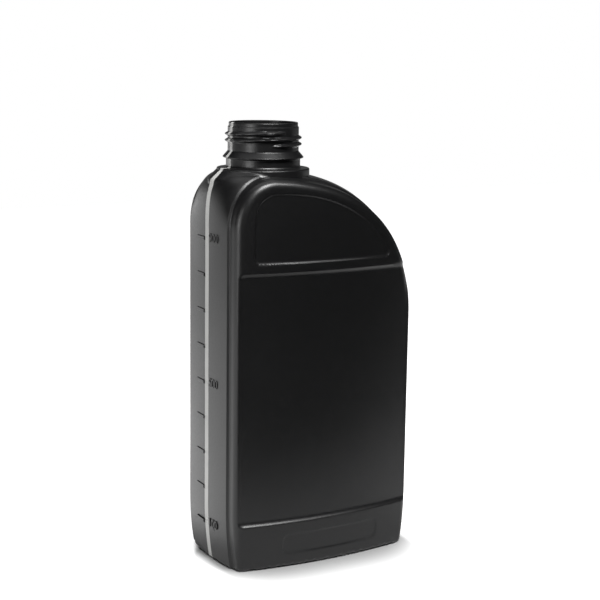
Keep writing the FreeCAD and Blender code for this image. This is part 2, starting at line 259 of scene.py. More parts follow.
# Floor, in metres apart from the bottle's footprint
BOARD_NOISE = (6.0, 2.0)
BOARD_GREYS = (0.50, 0.54)
# Painted shadow: the board's colour as the camera sees it, darker at the bottle.
PAINTED_SHADOW_GREYS = (0.33, 0.68)   # what the camera sees of it, at the bottle and further off
FOOTPRINT = {"X": HALF_WIDTH - 1.0, "Y": FACE_DEPTH - 4.0}
FLOOR_SIDES = (("X", -1.0), ("X", 1.0), ("Y", -1.0), ("Y", 1.0))
FLOOR_SPREAD = (4.5, 5.0, 1.0, 5.0)   # how much faster the painted shadow fades at left, right, front, back
FLOOR_BOW = 17.0 * MM / (HALF_WIDTH * MM) ** 4  # and sooner towards the front's ends
FLOOR_PAINTED_SHADOW_SPAN = (0.0, 0.030)      # the board whitens over this distance in front of the bottle
FLOOR_LIFT_SPAN = (0.002, 0.060)      # and gains light of its own over this one, up to 1
FLOOR_GLOSS_LIFT = 1.2                # light added in reflections, clear of the bottle
FLOOR_GLOSS_SPAN = (0.0, 0.45)
FLOOR_GLOSS_BACK = (-0.08, 0.08, 0.2, 1.0)  # most of it behind the front face
FLOOR_GLOSS_FAR = (0.25, 0.95, 1.0, 0.35)   # and less far behind
FLOOR_EXTENT = (-1.6, 1.6, -0.15, 1.5)

# Lamps, in metres and watts: name, place, target, width, height, power
LAMPS = (
    ("overhead", (0.0, 0.30, 1.30), (0.0, 0.0, 0.08), 1.2, 0.8, 3.0),
    ("front_high", (-0.19, -0.82, 1.15), (0.0, 0.0, 0.15), 0.40, 0.40, 21.5),
    ("front_right", (0.26, -0.80, 1.13), (0.0, 0.0, 0.15), 0.46, 0.34, 8.5),
    ("back_left", (-0.38, 1.25, 0.10), (0.0, 0.0, 0.08), 0.7, 0.30, 1.2),
    ("left_low", (-1.15, -0.39, 0.20), (0.0, 0.0, 0.08), 0.4, 0.4, 3.6),
)

# Camera, in degrees and millimetres
CAMERA_ANGLES = (30.13, 10.15, 0.80)
CAMERA_DISTANCE = 709.4
CAMERA_TARGET = (-0.04, 0.2, 127.68)
CAMERA_LENS = 84.33
CAMERA_SENSOR = 36.0


# ---------------------------------------------------------------- outline

def foot_circle():
    return (FOOT_HEIGHT ** 2 + FOOT_DRAW ** 2) / (2 * FOOT_DRAW)


def base_corner(half, floor):
    """Centre of the base corner's circle and the angle where it meets the foot's arc."""
    radius = foot_circle()
    rise = FOOT_HEIGHT - floor - BASE_RADIUS
    reach = math.sqrt((radius - BASE_RADIUS) ** 2 - rise ** 2)
    return half - radius + reach, floor + BASE_RADIUS, math.atan2(rise, reach)


def outline_point(u, inset, crown, floor=0.0):
    """Point (x, z) of the D-shaped outline. u runs 0 to 8, from the left base corner over the top."""
    half = HALF_WIDTH + CROWN * crown - inset
    top = SHOULDER_TOP + (CROWN_TOP - SHOULDER_TOP) * crown - inset
    corner_power = CORNER_POWER + (CORNER_CROWN_POWER - CORNER_POWER) * crown
    shoulder_power = SHOULDER_POWER + (SHOULDER_CROWN_POWER - SHOULDER_POWER) * crown
    corner_z = SHOULDER_TOP - CORNER_DROP - CORNER_CROWN_DROP * crown
    shoulder_z = SHOULDER_TOP - SHOULDER_DROP
    side, part = (-1.0, u) if u <= 4.0 else (1.0, 8.0 - u)
    start, power = (corner_z, corner_power) if side < 0 else (shoulder_z, shoulder_power)
    if part <= 1.0:
        x, z, turn = base_corner(half, floor)
        angle = QUARTER + (turn - QUARTER) * part
        return side * (x + BASE_RADIUS * math.cos(angle)), z - BASE_RADIUS * math.sin(angle)
    if part <= 2.0:
        turn = base_corner(half, floor)[2] * (2.0 - part)
        radius = foot_circle()
        return side * (half - radius + radius * math.cos(turn)), FOOT_HEIGHT - radius * math.sin(turn)
    if part <= 3.0:
        return side * half, FOOT_HEIGHT + (start - FOOT_HEIGHT) * (part - 2.0)
    angle = QUARTER * (part - 3.0)
    reach = half + side * -PEAK_X
    across = max(math.cos(angle), 0.0) ** (2.0 / power)
    up = max(math.sin(angle), 0.0) ** (2.0 / power)
    return PEAK_X + side * reach * across, start + (top - start) * up


def inset_at(x, z):
    """How far inside the edge outline a point lies, by the same rule as outline_point. Arrays."""
    low, high = (np.full(np.shape(x), end) for end in INSET_RANGE)
    draw = np.where(z < FOOT_HEIGHT, foot_draw(z, FOOT_DRAW), 0.0)
    side = HALF_WIDTH - draw - np.abs(x)
    left = x < PEAK_X
    start = np.where(left, SHOULDER_TOP - CORNER_DROP, SHOULDER_TOP - SHOULDER_DROP)
    power = np.where(left, CORNER_POWER, SHOULDER_POWER)
    for _ in range(INSET_HALVINGS):
        middle = (low + high) / 2
        reach = np.where(left, HALF_WIDTH - middle + PEAK_X, HALF_WIDTH - middle - PEAK_X)
        rise = SHOULDER_TOP - middle - start
        across = np.abs(x - PEAK_X) / np.maximum(reach, INSET_LEAST)
        up = np.maximum(z - start, 0.0) / np.maximum(rise, INSET_LEAST)
        outside = across ** power + up ** power > 1.0
        high = np.where(outside, middle, high)
        low = np.where(outside, low, middle)
    return np.minimum(side, (low + high) / 2)


# ---------------------------------------------------------------- faces

def foot_draw(z, amount):
    """Arc by which a side or face draws in below the foot's height."""
    radius = (FOOT_HEIGHT ** 2 + amount ** 2) / (2 * amount)
    below = np.clip(FOOT_HEIGHT - z, 0.0, FOOT_HEIGHT)
    return radius - np.sqrt(radius ** 2 - below ** 2)


def step(inside, sink, radius, softness=STEP_SOFTNESS):
    """Depth of a panel at a distance inside its edge: a concave arc down to the floor, softened."""
    run = math.sqrt(2 * radius * sink - sink ** 2)
    total = 0.0
    for shift in (-softness, -softness / 2, 0.0, softness / 2, softness):
        left = np.clip(run - (inside + shift), 0.0, run)
        arc_depth = sink - (radius - np.sqrt(radius ** 2 - left ** 2))
        total = total + np.where(inside + shift <= 0.0, 0.0, arc_depth)
    return total / 5.0


def rounded(distances, radius):
    """Distance inside a shape bounded by several edges, with rounded corners."""
    short = sum(np.maximum(radius - d, 0.0) ** 2 for d in distances)
    nearest = np.minimum.reduce(distances)
    return np.where(nearest < radius, radius - np.sqrt(short), nearest)


def label_inside(x, z):
    return rounded([x + LABEL_HALF_WIDTH, LABEL_HALF_WIDTH - x, z - LABEL_BOTTOM, LABEL_TOP - z],
                   LABEL_CORNER)


def upper_inside(x, z):
    return rounded([inset_at(x, z) - UPPER_MARGIN, x - UPPER_LEFT, z - UPPER_BOTTOM], UPPER_CORNER)


def foot_panel_inside(x, z):
    return rounded([x - FOOT_PANEL_X[0], FOOT_PANEL_X[1] - x, z - FOOT_PANEL_Z[0], FOOT_PANEL_Z[1] - z],
                   FOOT_PANEL_CORNER)


def face_depth(x, z, inset):
    """Distance of the bowed face from the mid-plane, with its panels and its rounding at the base."""
    depth = FACE_DEPTH - inset - (FACE_BOW - np.sqrt(FACE_BOW ** 2 - x ** 2)) - foot_draw(z, FACE_FOOT_DRAW)
    depth = depth - step(label_inside(x, z), LABEL_SINK, LABEL_EDGE_RADIUS)
    if inset == 0.0:
        depth = depth - step(upper_inside(x, z), UPPER_SINK, UPPER_EDGE_RADIUS, UPPER_SOFTNESS)
        depth = depth - step(foot_panel_inside(x, z), FOOT_PANEL_SINK, FOOT_PANEL_EDGE_RADIUS)
    below = np.clip(FACE_BASE_RADIUS - z, 0.0, FACE_BASE_RADIUS)
    return depth - (FACE_BASE_RADIUS - np.sqrt(FACE_BASE_RADIUS ** 2 - below ** 2))


def eased(share):
    """Smooth step from 0 to 1 as share goes from 0 to 1."""
    share = np.clip(share, 0.0, 1.0)
    return share * share * (3.0 - 2.0 * share)


def edge_radius(z):
    """Rounding of the face's edge, which tightens towards the base."""
    share = eased((z - FACE_BASE_RADIUS) / (FOOT_HEIGHT - FACE_BASE_RADIUS))
    return FACE_BASE_RADIUS + (FACE_EDGE_RADIUS - FACE_BASE_RADIUS) * share


def wall_slope(x):
    """Rise of the wall for each unit of inset: the graduated side and its corner stand steeper."""
    share = eased((x - SLOPE_CHANGE[0]) / (SLOPE_CHANGE[1] - SLOPE_CHANGE[0]))
    return WALL_SLOPE_LEFT + (WALL_SLOPE - WALL_SLOPE_LEFT) * share


def rounding_span(depth, radius, slope):
    """Insets where the rounding leaves the wall and where it reaches the face."""
    base = BAND_HALF_DEPTH + LEDGE_DEPTH
    slant = np.sqrt(1.0 + slope ** 2)
    reach = LEDGE_INSET + (depth - radius - base + radius * slant) / slope
    return reach - radius * slope / slant, reach


def shell_depth(x, z, s, inset):
    """Distance from the mid-plane of ledge, wall, rounding or face, at inset s from the band's edge."""
    depth = face_depth(x, z, inset)
    radius = edge_radius(z)
    slope = wall_slope(x)
    leave, reach = rounding_span(depth, radius, slope)
    ledge = BAND_HALF_DEPTH + s * LEDGE_DEPTH / LEDGE_INSET
    wall = BAND_HALF_DEPTH + LEDGE_DEPTH + (s - LEDGE_INSET) * slope
    over = np.clip(reach - s, 0.0, radius)
    rounding = depth - radius + np.sqrt(radius ** 2 - over ** 2)
    side = np.where(s < LEDGE_INSET, ledge, wall)
    return np.where(s <= leave, side, np.where(s < reach, rounding, depth))


# ---------------------------------------------------------------- mesh helpers

def vertex(bm, point):
    """Vertex at a point given in millimetres."""
    return bm.verts.new([c * MM for c in point])


def bridge(bm, low, high):
    """Faces between two closed rings, either of which may be a single point."""
    count = max(len(low), len(high))
    for i in range(count):
        j = (i + 1) % count
        if len(low) == 1:
            bm.faces.new((low[0], high[j], high[i]))
        elif len(high) == 1:
            bm.faces.new((low[i], low[j], high[0]))
        else:
            bm.faces.new((low[i], low[j], high[j], high[i]))


def face_outwards(bm):
    bmesh.ops.recalc_face_normals(bm, faces=bm.faces)
    return bm


def weld(bm, distance=WELD):
    bmesh.ops.remove_doubles(bm, verts=bm.verts, dist=distance)


def columns(points):
    """The first and the second coordinates of points, as two arrays."""
    return np.array([p[0] for p in points]), np.array([p[1] for p in points])


def net(half, pitch):
    """Evenly spaced values from -half to half."""
    return np.arange(-half, half + NET_STOP, pitch)


def triangulate(points, count):
    """Constrained Delaunay triangles inside the closed loop that is the first count of these 2-D points."""
    edges = [(i, (i + 1) % count) for i in range(count)]
    inside_only = 1
    result = delaunay_2d_cdt([Vector(p) for p in points], edges, [], inside_only, FLAT_WELD)
    return [tuple(v) for v in result[0]], [list(f) for f in result[2]]


def contour(field, centre, level, count):
    """Points where a field that falls outwards from centre has this level, one along each ray."""
    angle = np.linspace(0.0, math.tau, count, endpoint=False)
    low = np.zeros(count)
    high = np.full(count, CONTOUR_REACH)
    for _ in range(CONTOUR_HALVINGS):
        middle = (low + high) / 2
        inside = field(centre[0] + middle * np.cos(angle), centre[1] + middle * np.sin(angle)) > level
        low = np.where(inside, middle, low)
        high = np.where(inside, high, middle)
    return list(zip(centre[0] + low * np.cos(angle), centre[1] + low * np.sin(angle)))


# ---------------------------------------------------------------- shell mesh

def straight_u(heights):
    """Outline parameters of these heights on the straight part of the graduated side."""
    top = SHOULDER_TOP - CORNER_DROP
    return [2.0 + (z - FOOT_HEIGHT) / (top - FOOT_HEIGHT) for z in heights if FOOT_HEIGHT < z < top]


def shoulder_u(z):
    """Outline parameter of a height on the large shoulder's edge."""
    start = SHOULDER_TOP - SHOULDER_DROP
    up = ((z - start) / SHOULDER_DROP) ** (SHOULDER_POWER / 2.0)
    return 5.0 - math.asin(up) / QUARTER


def foot_u(z, side):
    """Outline parameter of a height on the foot's arc, on either side."""
    turn = base_corner(HALF_WIDTH, 0.0)[2]
    u = 2.0 - math.asin((FOOT_HEIGHT - z) / foot_circle()) / turn
    return u if side < 0 else 8.0 - u


def stations(grade):
    """Outline parameters of the shell's sections, closer together where the label panel's step crosses."""
    found = [8.0]
    for part, number in enumerate(STATIONS):
        count = max(2, round(number * grade["stations"]))
        found += list(np.linspace(part, part + 1, count, endpoint=False))
    if grade is FINE:
        top_step = [LABEL_TOP - d for d in LABEL_STATIONS]
        low_step = [LABEL_BOTTOM + d for d in LABEL_STATIONS]
        found += straight_u(top_step)
        found += [shoulder_u(z) for z in top_step]
        found += [foot_u(z, side) for z in low_step for side in (-1, 1)]
    found = sorted(found)
    kept = [found[0]]
    for u in found[1:]:
        if u - kept[-1] > STATION_GAP:
            kept.append(u)
    kept[-1] = 8.0
    return kept


def section(u, inset, floor):
    """Half a section through the shell at one station: (x, y, z) from the mid-plane to the face."""
    points = []
    for share in CROWN_SHARES:
        x, z = outline_point(u, inset, 1.0 - share ** 2, floor)
        points.append((x, -BAND_HALF_DEPTH * share, z))
    x, z = outline_point(u, inset + WALL_PROBE, 0.0, floor)
    leave, reach = rounding_span(face_depth(x, z, inset), edge_radius(z), wall_slope(x))
    insets = [LEDGE_INSET * share for share in LEDGE_SHARES]
    insets += [LEDGE_INSET + past for past in PAST_LEDGE]
    insets += [(insets[-1] + leave) / 2, leave]
    for index in range(1, ROUNDING_STEPS + 1):
        insets.append(reach - (reach - leave) * math.cos(QUARTER * index / ROUNDING_STEPS))
    insets += [reach + past for past in PAST_ROUNDING]
    for s in insets:
        x, z = outline_point(u, inset + s, 0.0, floor)
        points.append((x, -float(shell_depth(np.float64(x), np.float64(z), s, inset)), z))
    return points


def face_points(limit, low, grade):
    """Points further inside the outline than limit: an even net, and rows along the panels' steps."""
    pitch = grade["face"]
    points = [(x, z) for z in np.arange(0.5 * pitch, SHOULDER_TOP, pitch) for x in net(NET_HALF_WIDTH, pitch)]
    if grade is FINE:
        rows = [LABEL_TOP - d for d in LABEL_ROWS] + [LABEL_BOTTOM + d for d in LABEL_ROWS]
        points = [p for p in points if all(abs(p[1] - z) > ROW_CLEARANCE for z in rows)]
        points += [(x, z) for z in rows for x in net(NET_HALF_WIDTH, ROW_PITCH)]
        for level in PANEL_STEPS:
            points += contour(upper_inside, UPPER_MIDDLE, level, UPPER_RAYS)
            points += contour(foot_panel_inside, FOOT_PANEL_MIDDLE, level, FOOT_PANEL_RAYS)
    points += [(x, z) for z in BASE_ROWS for x in net(BASE_NET[0], grade["face base"])]
    x, z = columns(points)
    keep = (inset_at(x, z) > limit) & (z > low + LOW_CLEARANCE)
    return list(zip(x[keep], z[keep]))


def add_band(bm, halves):
    """Band, ledges, walls and roundings, from the half sections and their mirror images."""
    front = [[vertex(bm, p) for p in half] for half in halves]
    back = [[row[0]] + [vertex(bm, (x, -y, z)) for x, y, z in half[1:]] for row, half in zip(front, halves)]
    for i in range(len(halves) - 1):
        for k in range(len(halves[0]) - 1):
            bm.faces.new((front[i][k], front[i][k + 1], front[i + 1][k + 1], front[i + 1][k]))
            bm.faces.new((back[i][k], back[i + 1][k], back[i + 1][k + 1], back[i][k + 1]))


def add_faces(bm, halves, inset, grade):
    """Both faces inside the rounding: the last ring, closed along the base, then filled.

    Returns the bottom row that closes the ring.
    """
    ring = [(half[-1][0], half[-1][2]) for half in halves]
    (first, low), (last, _) = ring[0], ring[-1]
    count = grade["bottom"]
    base_row = [(last + (first - last) * i / count, low) for i in range(1, count)]
    outer = ring + base_row
    limit = float(np.max(inset_at(*columns(ring)))) + grade["clearance"]
    flat, triangles = triangulate(outer + face_points(limit, low, grade), len(outer))
    depth = shell_depth(*columns(flat), ON_FACE, inset)
    for side in (-1, 1):
        made = [vertex(bm, (x, side * d, z)) for (x, z), d in zip(flat, depth)]
        for a, b, c in triangles:
            bm.faces.new((made[a], made[b], made[c]) if side < 0 else (made[a], made[c], made[b]))
    return base_row


def base_inside(x, y, half_x):
    """Distance inside the outline that the bottle stands on."""
    front = FACE_DEPTH - FACE_FOOT_DRAW - FACE_BASE_RADIUS - (FACE_BOW - math.sqrt(FACE_BOW ** 2 - x ** 2))
    return min(half_x - abs(x), front - abs(y))


def push_up(x, y, half_x, inset):
    """Height of the hollow under the base."""
    past = base_inside(x, y, half_x) - PUSH_UP_MARGIN + FACE_BASE_RADIUS + inset
    return PUSH_UP * eased(past / PUSH_UP_RUN)


def add_base(bm, halves, base_row, inset, floor, grade):
    """The base, bounded by both ends of the sections and both faces' bottom rows."""
    def end(half, sign):
        return [(x, sign * y) for x, y, _ in reversed(half)] + [(x, -sign * y) for x, y, _ in half[1:]]

    depth = shell_depth(*columns(base_row), ON_FACE, inset)
    rim = end(halves[0], 1.0) + [(p[0], d) for p, d in zip(reversed(base_row), depth[::-1])]
    rim += end(halves[-1], -1.0) + [(p[0], -d) for p, d in zip(base_row, depth)]
    half_x = halves[-1][0][0]
    xs, ys = (net(half, pitch) for half, pitch in zip(BASE_NET, grade["base"]))
    inner = [(x, y) for x in xs for y in ys if base_inside(x, y, half_x) > BASE_CLEARANCE]
    flat, triangles = triangulate(rim + inner, len(rim))
    made = [vertex(bm, (x, y, floor + push_up(x, y, half_x, inset))) for x, y in flat]
    for a, b, c in triangles:
        bm.faces.new((made[a], made[b], made[c]))


def shell_mesh(inset, floor, grade):
    """Closed skin of the body moved in by inset: band, ledges, walls, faces and base."""
    bm = bmesh.new()
    halves = [section(u, inset, floor) for u in stations(grade)]
    add_band(bm, halves)
    base_row = add_faces(bm, halves, inset, grade)
    add_base(bm, halves, base_row, inset, floor, grade)
    weld(bm)
    return face_outwards(bm)


# ---------------------------------------------------------------- neck mesh

def arc(centre, radius, start, end, count):
    """Points of an arc in the (radius, height) plane, angles in degrees."""
    angles = np.radians(np.linspace(start, end, count))
    return [(centre[0] + radius * math.cos(a), centre[1] + radius * math.sin(a)) for a in angles]


def neck_profile():
    """Outer profile of platform, land, bead, threaded land and rim, as (radius, height)."""
    edge, fillet = PLATFORM_ROUNDING, PLATFORM_FILLET
    profile = [(0.0, NECK_ROOT), (PLATFORM_RADIUS, NECK_ROOT)]
    profile += arc((PLATFORM_RADIUS - edge, PLATFORM_TOP - edge), edge, 0, 90, 6)
    profile += arc((NECK_FOOT_RADIUS + fillet, PLATFORM_TOP + fillet), fillet, 270, 180, 7)
    edge, fillet = BEAD_ROUNDING, BEAD_FILLET
    profile += [(NECK_FOOT_RADIUS, BEAD_BOTTOM - BEAD_LAND), (NECK_FOOT_RADIUS, BEAD_BOTTOM - fillet)]
    profile += arc((NECK_FOOT_RADIUS + fillet, BEAD_BOTTOM - fillet), fillet, 180, 135, 3)
    profile += arc((BEAD_RADIUS - edge, BEAD_PEAK), edge, -50, 41, 7)
    profile += arc((NECK_RADIUS + BEAD_TOP_FILLET, BEAD_TOP), BEAD_TOP_FILLET, 221, 180, 6)
    rows = np.arange(BEAD_TOP + NECK_LAND[0], RIM_TOP - NECK_LAND[1], NECK_ROW)
    profile += [(NECK_RADIUS, z) for z in rows]
    profile += [(NECK_RADIUS - back, RIM_TOP - down) for back, down in RIM_STEP]
    edge = RIM_ROUNDING
    profile += arc((NECK_RADIUS - RIM_STEP[-1][0] - edge, RIM_TOP - edge), edge, 0, 90, 6)
    profile += [(NECK_BORE - RIM_OVERLAP, RIM_TOP), (0.0, RIM_TOP)]
    return profile


def bore_profile():
    """Profile of the hollow under the platform and of the bore, cut out of the neck."""
    hollow = PLATFORM_RADIUS - WALL
    root, ceiling = NECK_ROOT - HOLLOW_DROP, PLATFORM_TOP - WALL
    edge, lip = HOLLOW_CHAMFER, NECK_BORE + LIP_CHAMFER
    return [(0.0, root), (hollow, root), (hollow, ceiling - edge), (hollow - edge, ceiling),
            (NECK_BORE + edge, ceiling), (NECK_BORE, ceiling + edge), (NECK_BORE, RIM_TOP - LIP_DROP),
            (lip, RIM_TOP + CUT_PAST[0]), (lip, RIM_TOP + CUT_PAST[1]), (0.0, RIM_TOP + CUT_PAST[1])]


def thread_rise(angle, z):
    """How far the thread stands out of the neck at this place."""
    rise = 0.0
    turn = (angle - THREAD_START) % math.tau
    last = THREAD_TURNS * math.tau
    while turn <= last:
        off = abs(z - THREAD_BOTTOM - THREAD_PITCH * turn / math.tau)
        run = math.sin(QUARTER * min(turn, last - turn, THREAD_RUN_IN) / THREAD_RUN_IN)
        width = THREAD_HALF * (THREAD_END + (1.0 - THREAD_END) * run)
        share = min(max((width - off) / (width - THREAD_CREST_HALF), 0.0), 1.0)
        share -= THREAD_ROUNDING * math.sin(math.tau * share) / math.tau
        rise = max(rise, (THREAD_RADIUS - NECK_RADIUS) * run * share)
        turn += math.tau
    return rise


def revolve(profile, count, rise=None):
    """Closed solid of revolution about the neck's axis; profile starts and ends on the axis."""
    bm = bmesh.new()
    rings = []
    for radius, z in profile:
        if radius == 0.0:
            rings.append([vertex(bm, (NECK_X, 0.0, z))])
            continue
        ring = []
        threaded = rise and abs(radius - NECK_RADIUS) < 1e-6
        for i in range(count):
            angle = math.tau * i / count
            r = radius + (rise(angle, z) if threaded else 0.0)
            ring.append(vertex(bm, (NECK_X + r * math.cos(angle), r * math.sin(angle), z)))
        rings.append(ring)
    for low, high in zip(rings, rings[1:]):
        bridge(bm, low, high)
    return face_outwards(bm)


def ramp_mesh(inset):
    """Slope from the platform's rim down towards the graduated side, and the steeper curve under it."""
    bm = bmesh.new()
    radius = PLATFORM_RADIUS - RAMP_START - inset
    top = PLATFORM_TOP - inset
    reach = PLATFORM_RAMP + RAMP_START
    turns = [math.pi * i / RAMP_SIDES for i in range(RAMP_SIDES + 1)]
    levels = [(0.0, top)] + [(reach * share, top - PLATFORM_RAMP * share) for share in RAMP_SHARES]
    levels += [(reach + past, top - PLATFORM_RAMP - drop) for past, drop in RAMP_FOOT]
    rings = []
    for shift, z in levels:
        # Plan of the disc moved to the left by shift: half a circle there, and straight back to the axis.
        ring = [(NECK_X - shift - radius * math.sin(t), -radius * math.cos(t)) for t in turns]
        ring += [(NECK_X + RAMP_OVERLAP, radius), (NECK_X + RAMP_OVERLAP, -radius)]
        rings.append([vertex(bm, (x, y, z)) for x, y in ring])
    for low, high in zip(rings, rings[1:]):
        bridge(bm, low, high)
    bm.faces.new(rings[0])
    bm.faces.new(rings[-1])
    return face_outwards(bm)


# ---------------------------------------------------------------- graduation

def crown_x(y, stand):
    """The narrow side's surface at this depth, moved out by stand."""
    return -(HALF_WIDTH + CROWN * (1.0 - (y / BAND_HALF_DEPTH) ** 2) + stand)


def bar_mesh(z):
    """One raised bar with rounded edges, following the crown and set into the wall."""
    bm = bmesh.new()
    (near, far), (past, count) = BAR_Y, BAR_FLAT
    half = BAR_HEIGHT / 2
    ys = [near + d for d in BAR_END_ROWS] + list(np.linspace(near + past, far - past, count))
    ys += [far - d for d in reversed(BAR_END_ROWS)]
    zs = [-half + d for d in BAR_SIDE_ROWS] + [0.0] + [half - d for d in reversed(BAR_SIDE_ROWS)]
    last_i, last_j = len(ys) - 1, len(zs) - 1
    top = []
    for i, y in enumerate(ys):
        row = []
        for j, dz in enumerate(zs):
            stand = BAR_STAND * BAR_RISES[min(i, last_i - i, j, last_j - j, 2)]
            row.append(vertex(bm, (crown_x(y, stand), y, z + dz)))
        top.append(row)
    floor = [[vertex(bm, (crown_x(y, -BAR_SET_IN), y, z + dz)) for dz in zs] for y in ys]
    for grid in (top, floor):
        for i in range(last_i):
            for j in range(last_j):
                bm.faces.new((grid[i][j], grid[i + 1][j], grid[i + 1][j + 1], grid[i][j + 1]))
    edge = [(i, 0) for i in range(last_i)] + [(last_i, j) for j in range(last_j)]
    edge += [(i, last_j) for i in range(last_i, 0, -1)] + [(0, j) for j in range(last_j, 0, -1)]
    for (i, j), (k, m) in zip(edge, edge[1:] + edge[:1]):
        bm.faces.new((top[i][j], top[k][m], floor[k][m], floor[i][j]))
    return face_outwards(bm)


def numeral_mesh(text, z):
    """Raised figures beside the strip, bent to the crown and set into the wall."""
    curve = bpy.data.curves.new("figures", "FONT")
    curve.body = text
    curve.size = NUMERAL_SIZE
    curve.align_x = "CENTER"
    curve.align_y = "CENTER"
    curve.extrude = NUMERAL_STAND
    curve.offset = NUMERAL_WEIGHT
    curve.resolution_u = NUMERAL_CURVE_STEPS
    item = add_object("figures", curve)
    bpy.context.view_layer.update()
    bm = bmesh.new()
    bm.from_mesh(item.to_mesh())
    bpy.data.objects.remove(item)
    bpy.data.curves.remove(curve)
    weld(bm, FIGURE_WELD)
    for vert in bm.verts:
        across, up, out = vert.co
        y = NUMERAL_Y - across * NUMERAL_STRETCH
        stand = NUMERAL_STAND if out > 0.0 else -NUMERAL_SET_IN
        vert.co = (crown_x(y, stand) * MM, y * MM, (z + up) * MM)
    return face_outwards(bm)


# ---------------------------------------------------------------- building

def add_object(name, data):
    """New object in the scene."""
    item = bpy.data.objects.new(name, data)
    bpy.context.scene.collection.objects.link(item)
    return item


def to_object(bm, name):
    mesh = bpy.data.meshes.new(name)
    bm.to_mesh(mesh)
    bm.free()
    return add_object(name, mesh)


def apply_modifiers(item):
    graph = bpy.context.evaluated_depsgraph_get()
    graph.update()
    mesh = bpy.data.meshes.new_from_object(item.evaluated_get(graph))
    item.modifiers.clear()
    old = item.data
    item.data = mesh
    bpy.data.meshes.remove(old)


def combine(item, other, operation):
    """Boolean of two closed meshes; the second object is used up."""
    modifier = item.modifiers.new("combine", "BOOLEAN")
    modifier.operation = operation
    modifier.solver = "MANIFOLD"
    modifier.object = other
    apply_modifiers(item)
    bpy.data.objects.remove(other)


def clean(item):
    """Join points that the booleans left on each other, and drop faces without area."""
    bm = bmesh.new()
    bm.from_mesh(item.data)
    weld(bm)
    bmesh.ops.dissolve_degenerate(bm, dist=WELD, edges=bm.edges)
    bm.to_mesh(item.data)
    bm.free()


def smooth(item):
    """Smooth shading with sharp creases, and normals that follow the larger faces."""
    item.data.shade_smooth()
    item.data.set_sharp_from_angle(angle=SHARP_ANGLE)
    weighted = item.modifiers.new("weighted", "WEIGHTED_NORMAL")
    weighted.mode = "FACE_AREA_WITH_ANGLE"
    weighted.keep_sharp = True
    weighted.weight = 50
    apply_modifiers(item)


def build_bottle():
    item = to_object(shell_mesh(0.0, 0.0, FINE), "bottle_shell")
    combine(item, to_object(revolve(neck_profile(), NECK_SIDES, thread_rise), "neck"), "UNION")
    combine(item, to_object(ramp_mesh(0.0), "ramp"), "UNION")
    for index in range(BAR_COUNT):
        combine(item, to_object(bar_mesh(BAR_FIRST + BAR_PITCH * index), "bar"), "UNION")
    for text, index in NUMERALS:
        z = BAR_FIRST + BAR_PITCH * index + NUMERAL_RISE
        combine(item, to_object(numeral_mesh(text, z), "figures"), "UNION")
    combine(item, to_object(shell_mesh(WALL, FLOOR_WALL, COARSE), "inside"), "DIFFERENCE")
    combine(item, to_object(revolve(bore_profile(), BORE_SIDES), "bore"), "DIFFERENCE")
    combine(item, to_object(ramp_mesh(WALL), "ramp_inside"), "DIFFERENCE")
    clean(item)
    smooth(item)
    return item


# ---------------------------------------------------------------- materials

class Nodes:
    """Short way to build a node tree."""

    def __init__(self, owner):
        owner.use_nodes = True
        self.tree = owner.node_tree
        self.tree.nodes.clear()

    def add(self, kind, inputs=None, **settings):
        """New node. inputs gives what goes into its sockets: another socket, or a constant."""
        node = self.tree.nodes.new("ShaderNode" + kind)
        for name, value in settings.items():
            setattr(node, name, value)
        for name, value in (inputs or {}).items():
            if hasattr(value, "links"):
                self.tree.links.new(value, node.inputs[name])
            else:
                node.inputs[name].default_value = value
        return node

    def maths(self, operation, a, b=0.0):
        return self.add("Math", {0: a, 1: b}, operation=operation).outputs[0]

    def noise(self, place, scale, detail, roughness=0.5):
        inputs = {"Vector": place, "Scale": scale, "Detail": detail, "Roughness": roughness}
        return self.add("TexNoise", inputs).outputs["Fac"]

    def ramp(self, value, low, high, to_low=0.0, to_high=1.0):
        """Smooth step from one range to another."""
        inputs = {"Value": value, "From Min": low, "From Max": high, "To Min": to_low, "To Max": to_high}
        return self.add("MapRange", inputs, interpolation_type="SMOOTHSTEP").outputs["Result"]

    def mix(self, fac, a, b):
        return self.add("Mix", {"Factor": fac, "A": a, "B": b}, data_type="RGBA").outputs["Result"]

    def bump(self, height, strength, distance, **inputs):
        inputs.update({"Height": height, "Strength": strength, "Distance": distance * MM})
        return self.add("Bump", inputs).outputs["Normal"]

    def axes(self, place):
        """X, Y and Z of a set of coordinates."""
        return self.add("SeparateXYZ", {0: place}).outputs


def grey(value):
    return (value, value, value, 1.0)


